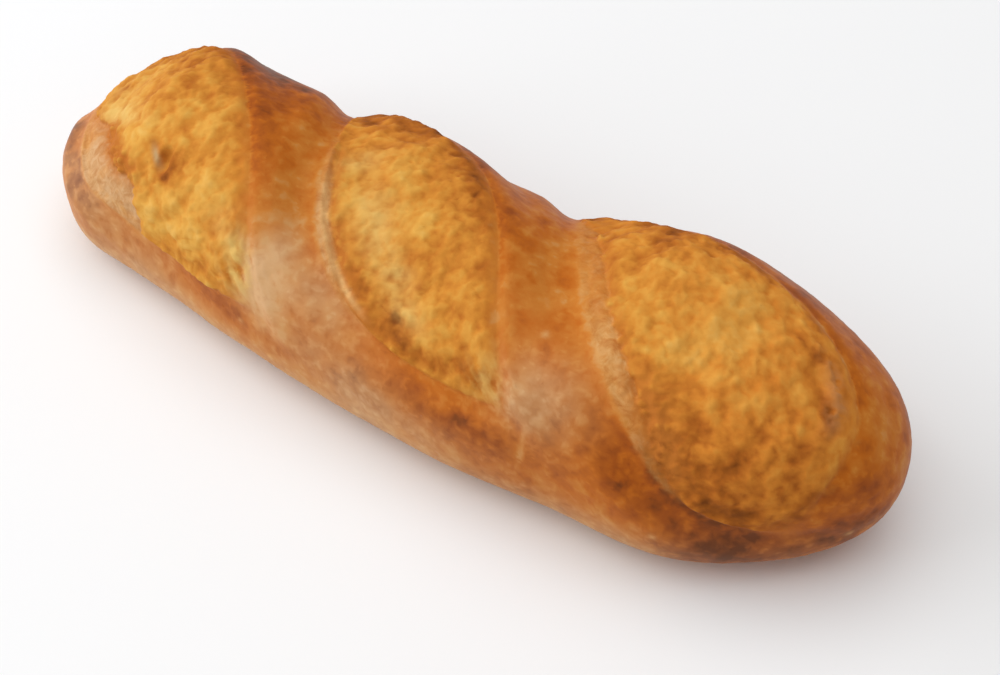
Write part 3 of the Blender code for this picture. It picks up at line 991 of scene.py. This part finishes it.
def write_fields(mesh, points, crust):
    """Gives each kept vertex what the crust is like at the nearest point of the full mesh."""
    tree = kdtree.KDTree(len(points))
    for number, point in enumerate(points.tolist()):
        tree.insert(point, number)
    tree.balance()
    kept = read_vectors(mesh, "co")
    nearest = np.array([tree.find(point)[1] for point in kept.tolist()])
    for name in Crust._fields[1:]:
        values = getattr(crust, name)[nearest].astype(np.float32)
        mesh.attributes.new(name, "FLOAT", "POINT").data.foreach_set("value", values)


# ---------------------------------------------------------------- materials


class Grain(NamedTuple):
    """A noise texture: its size in metres and the settings of its node."""

    size: float
    detail: float = 3.0
    roughness: float = 0.6
    distortion: float = 0.0


GRAINS = {
    "grain": Grain(0.0018, 4.0, distortion=0.3),
    "wisps": Grain(0.0050, distortion=1.1),
    "flakes": Grain(0.0105, distortion=0.7),
    "cloud": Grain(0.0160),
    "mottled": Grain(0.0045, 4.0, 0.65, 0.8),
    "skin": Grain(0.0012),
    "tear": Grain(0.0014, 4.0),
    "floor": Grain(0.60, 2.0, 0.5),
}

# Colours from dark to light or from light to dark, each with its place on the ramp
GOLDEN_CRUMB = (
    (0.00, (0.230, 0.060, 0.008)),
    (0.25, (0.430, 0.132, 0.015)),
    (0.50, (0.590, 0.232, 0.031)),
    (0.75, (0.680, 0.340, 0.060)),
    (1.00, (0.740, 0.440, 0.110)),
)
ORANGE_CRUMB = (
    (0.00, (0.210, 0.058, 0.008)),
    (0.25, (0.420, 0.120, 0.014)),
    (0.50, (0.620, 0.212, 0.026)),
    (0.75, (0.710, 0.305, 0.048)),
    (1.00, (0.770, 0.400, 0.085)),
)
GOLDEN_STRIP = (
    (0.32, (0.460, 0.140, 0.018)),
    (0.50, (0.560, 0.222, 0.040)),
    (0.68, (0.640, 0.310, 0.085)),
)
PINK_STRIP = (
    (0.32, (0.470, 0.215, 0.075)),
    (0.50, (0.570, 0.312, 0.135)),
    (0.68, (0.640, 0.395, 0.205)),
)
WARM_CRUST = (
    (0.00, (0.590, 0.290, 0.090)),
    (0.25, (0.570, 0.198, 0.028)),
    (0.50, (0.500, 0.130, 0.010)),
    (0.75, (0.350, 0.079, 0.008)),
    (1.00, (0.170, 0.042, 0.008)),
)
# Colours of the painted sheen on the crust
SHEEN_CRUST = (
    (0.10, (0.670, 0.395, 0.190)),
    (0.50, (0.500, 0.224, 0.084)),
    (0.75, (0.310, 0.122, 0.050)),
    (1.00, (0.150, 0.060, 0.028)),
)
PALE_CRUMB = (0.700, 0.430, 0.120, 1.0)
FOLD_SKIN = (0.430, 0.185, 0.070, 1.0)
PIT_FILM = (0.480, 0.350, 0.180, 1.0)
PIMPLE = (0.700, 0.400, 0.150, 1.0)
# colour of the toasted crumb and of the painted shade in the grooves
TOAST_AND_SHADE_COLOUR = (0.470, 0.150, 0.022, 1.0)
# colour of the painted highlight on the lips' crests
LIP_CREST_HIGHLIGHT = (0.780, 0.470, 0.185, 1.0)
FLOOR_TONES = ((0.3, (0.90, 0.90, 0.90)), (0.7, (0.92, 0.92, 0.92)))

CRUMB_ROUGHNESS = 0.84
SKIN_ROUGHNESS = 0.34
SKIN_ROUGHNESS_SPREAD = 0.20
STRIP_DULLNESS = 0.75  # how far a strip's roughness goes to the crumb's
RELIEF_DISTANCE = 0.00011
RELIEF_STRENGTH = 0.9
SKIN_RELIEF_SHARE = 0.30


class Nodes:
    """Short calls that add nodes to one material."""

    def __init__(self, name):
        self.material = bpy.data.materials.new(name)
        self.material.use_nodes = True
        self.tree = self.material.node_tree
        self.shader = self.tree.nodes["Principled BSDF"]
        self.place = self.add("ShaderNodeTexCoord").outputs["Object"]
        self.grains = {}

    def add(self, kind, **settings):
        node = self.tree.nodes.new(kind)
        for name, value in settings.items():
            setattr(node, name, value)
        return node

    def feed(self, target, value):
        """Links an output to an input, or sets a constant there."""
        if isinstance(value, bpy.types.NodeSocket):
            self.tree.links.new(value, target)
        else:
            target.default_value = value

    def put(self, node, **values):
        """Feeds a node's inputs by name, with _ for a space."""
        for name, value in values.items():
            self.feed(node.inputs[name.replace("_", " ")], value)

    def field(self, name):
        return self.add("ShaderNodeAttribute", attribute_name=name).outputs["Fac"]

    def math(self, operation, first, second):
        node = self.add("ShaderNodeMath", operation=operation)
        self.feed(node.inputs[0], first)
        self.feed(node.inputs[1], second)
        return node.outputs[0]

    def mix(self, share, first, second, kind="RGBA"):
        node = self.add("ShaderNodeMix", data_type=kind)
        self.put(node, Factor=share, A=first, B=second)
        return node.outputs["Result"]

    def grain(self, name):
        if name not in self.grains:
            grain = GRAINS[name]
            node = self.add("ShaderNodeTexNoise")
            self.put(node, Vector=self.place, Scale=1 / grain.size, Detail=grain.detail)
            self.put(node, Roughness=grain.roughness, Distortion=grain.distortion)
            self.grains[name] = node.outputs["Fac"]
        return self.grains[name]

    def varied(self, value, **amounts):
        """value, moved up or down by each named grain, by as much as half its amount."""
        for name, amount in amounts.items():
            swing = self.math("SUBTRACT", self.grain(name), 0.5)
            value = self.math("ADD", value, self.math("MULTIPLY", swing, amount))
        return value

    def patchy(self, field, base, **amounts):
        """A field times a varied number."""
        return self.math("MULTIPLY", self.field(field), self.varied(base, **amounts))

    def ramp(self, value, stops):
        node = self.add("ShaderNodeValToRGB")
        ramp = node.color_ramp
        while len(ramp.elements) < len(stops):
            ramp.elements.new(1.0)
        for element, (place, colour) in zip(ramp.elements, stops):
            element.position = place
            element.color = (*colour, 1.0)
        self.put(node, Fac=value)
        return node.outputs["Color"]


def crumb_colour(made):
    tone = made.varied(made.field("tone"), grain=0.04, wisps=0.15, flakes=0.31)
    colour = made.mix(made.field("warm"), made.ramp(tone, GOLDEN_CRUMB), made.ramp(tone, ORANGE_CRUMB))
    colour = made.mix(made.field("pale"), colour, PALE_CRUMB)
    colour = made.mix(made.patchy("lilac", 1.0, flakes=2.0), colour, FOLD_SKIN)
    return made.mix(made.field("film"), colour, PIT_FILM)


def strip_colour(made):
    mottled = made.grain("mottled")
    blush = made.patchy("blush", 1.0, flakes=3.0)
    return made.mix(blush, made.ramp(mottled, GOLDEN_STRIP), made.ramp(mottled, PINK_STRIP))


def crust_colour(made):
    bake = made.varied(made.field("bake"), cloud=0.30, wisps=0.16, grain=0.05, flakes=0.34)
    # painted sheen, mixed into the crust's colour
    painted_sheen = made.patchy("painted_sheen", 1.0, cloud=1.2)
    colour = made.mix(painted_sheen, made.ramp(bake, WARM_CRUST), made.ramp(bake, SHEEN_CRUST))
    return made.mix(made.math("MULTIPLY", made.field("spots"), 0.6), colour, PIMPLE)


def loaf_material():
    made = Nodes("baked_crust")
    crumb, strip = made.field("crumb"), made.field("strip")
    colour = made.mix(strip, crust_colour(made), strip_colour(made))
    colour = made.mix(crumb, colour, crumb_colour(made))
    # toasted crumb, with painted shade in the grooves
    toast_and_shade = made.math("MULTIPLY", made.field("toast_and_shade"), made.grain("wisps"))
    colour = made.mix(made.math("MULTIPLY", toast_and_shade, 1.5), colour, TOAST_AND_SHADE_COLOUR)
    # painted highlight along the crests of the lips
    colour = made.mix(made.patchy("crest", 0.8, mottled=1.2), colour, LIP_CREST_HIGHLIGHT)

    uneven = made.math("MULTIPLY", made.grain("cloud"), SKIN_ROUGHNESS_SPREAD)
    satin = made.math("ADD", uneven, SKIN_ROUGHNESS)
    dry = made.math("MAXIMUM", crumb, made.math("MULTIPLY", strip, STRIP_DULLNESS))
    roughness = made.mix(dry, satin, CRUMB_ROUGHNESS, "FLOAT")
    skin = made.math("MULTIPLY", made.grain("skin"), SKIN_RELIEF_SHARE)
    relief = made.add("ShaderNodeBump")
    made.put(relief, Strength=RELIEF_STRENGTH, Distance=RELIEF_DISTANCE)
    made.put(relief, Height=made.mix(crumb, skin, made.grain("tear"), "FLOAT"))
    made.put(made.shader, Base_Color=colour, Roughness=roughness, Normal=relief.outputs["Normal"])
    made.put(made.shader, IOR=1.45, Specular_IOR_Level=0.10)
    return made.material


def floor_material():
    made = Nodes("pale_floor")
    colour = made.ramp(made.grain("floor"), FLOOR_TONES)
    made.put(made.shader, Base_Color=colour, Roughness=0.8, IOR=1.3)
    return made.material


# ---------------------------------------------------------------- scene

FLOOR_HALF = 6.0
FLOOR_DROP = 0.0002  # keeps the floor clear of the loaf's flat base

WORLD_STRENGTH = 0.35
LIGHT_TARGET = (0, 0, 0.03)

CAMERA_TURN = 32.589  # degrees round the loaf
CAMERA_TILT = 50.0  # degrees down
CAMERA_DISTANCE = 0.56
CAMERA_LENS = 62.376
CAMERA_TARGET = (0.026377, -0.008213, 0.030)


class Softbox(NamedTuple):
    """A rectangular area light."""

    name: str
    direction: tuple  # from the loaf
    distance: float
    width: float
    height: float
    power: float  # watts
    colour: tuple


SOFTBOXES = (
    Softbox("left_softbox", (-0.90, -0.40, 0.45), 2.4, 2.8, 1.6, 42.0, (0.95, 0.97, 1.0)),
    Softbox("top_softbox", (-0.10, 0.05, 1.0), 3.0, 4.0, 4.0, 66.0, (1.0, 1.0, 1.0)),
)


def link_object(name, data):
    obj = bpy.data.objects.new(name, data)
    bpy.context.scene.collection.objects.link(obj)
    return obj


def make_loaf():
    full, points, crust = loaf_mesh()
    mesh = thinned(full, TRIANGLES)
    mesh.name = "loaf_crust"
    write_fields(mesh, points, crust)
    mesh.materials.clear()
    mesh.materials.append(loaf_material())
    mesh.shade_smooth()
    loaf = link_object("loaf_crust", mesh)
    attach(loaf, "root")
    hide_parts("loaf")


def make_floor():
    half = FLOOR_HALF
    mesh = bpy.data.meshes.new("floor")
    corners = [(-half, -half, 0), (half, -half, 0), (half, half, 0), (-half, half, 0)]
    mesh.from_pydata(corners, [], [(0, 1, 2, 3)])
    mesh.materials.append(floor_material())
    floor = link_object("floor", mesh)
    floor.location.z = -FLOOR_DROP


def make_softbox(softbox):
    """Places the light so that it points at the middle of the loaf."""
    light = bpy.data.lights.new(softbox.name, "AREA")
    light.shape = "RECTANGLE"
    light.size, light.size_y = softbox.width, softbox.height
    light.energy = softbox.power
    light.color = softbox.colour
    obj = link_object(softbox.name, light)
    away = Vector(softbox.direction).normalized()
    obj.location = away * softbox.distance + Vector(LIGHT_TARGET)
    obj.rotation_euler = away.to_track_quat("Z", "Y").to_euler()


def make_light():
    world = bpy.data.worlds.new("studio")
    world.use_nodes = True
    background = world.node_tree.nodes["Background"]
    background.inputs["Color"].default_value = (1.0, 1.0, 1.0, 1.0)
    background.inputs["Strength"].default_value = WORLD_STRENGTH
    bpy.context.scene.world = world
    for softbox in SOFTBOXES:
        make_softbox(softbox)


def make_camera():
    turn, tilt = math.radians(CAMERA_TURN), math.radians(CAMERA_TILT)
    right = Vector((math.cos(turn), math.sin(turn), 0))
    back = Vector((math.sin(turn) * math.cos(tilt), -math.cos(turn) * math.cos(tilt), math.sin(tilt)))
    up = back.cross(right)
    target = Vector((CAMERA_TARGET[0] - CENTRE[0], CAMERA_TARGET[1] - CENTRE[1], CAMERA_TARGET[2]))
    data = bpy.data.cameras.new("camera")
    data.sensor_width = 36.0
    data.lens = CAMERA_LENS
    data.clip_start, data.clip_end = 0.01, 50.0
    camera = link_object("camera", data)
    axes = Matrix((right, up, back)).transposed().to_4x4()
    camera.matrix_world = Matrix.Translation(target + back * CAMERA_DISTANCE) @ axes
    bpy.context.scene.camera = camera


def main():
    bpy.context.scene.view_settings.view_transform = "Standard"
    make_loaf()
    make_floor()
    make_light()
    make_camera()
    bpy.context.view_layer.update()


main()
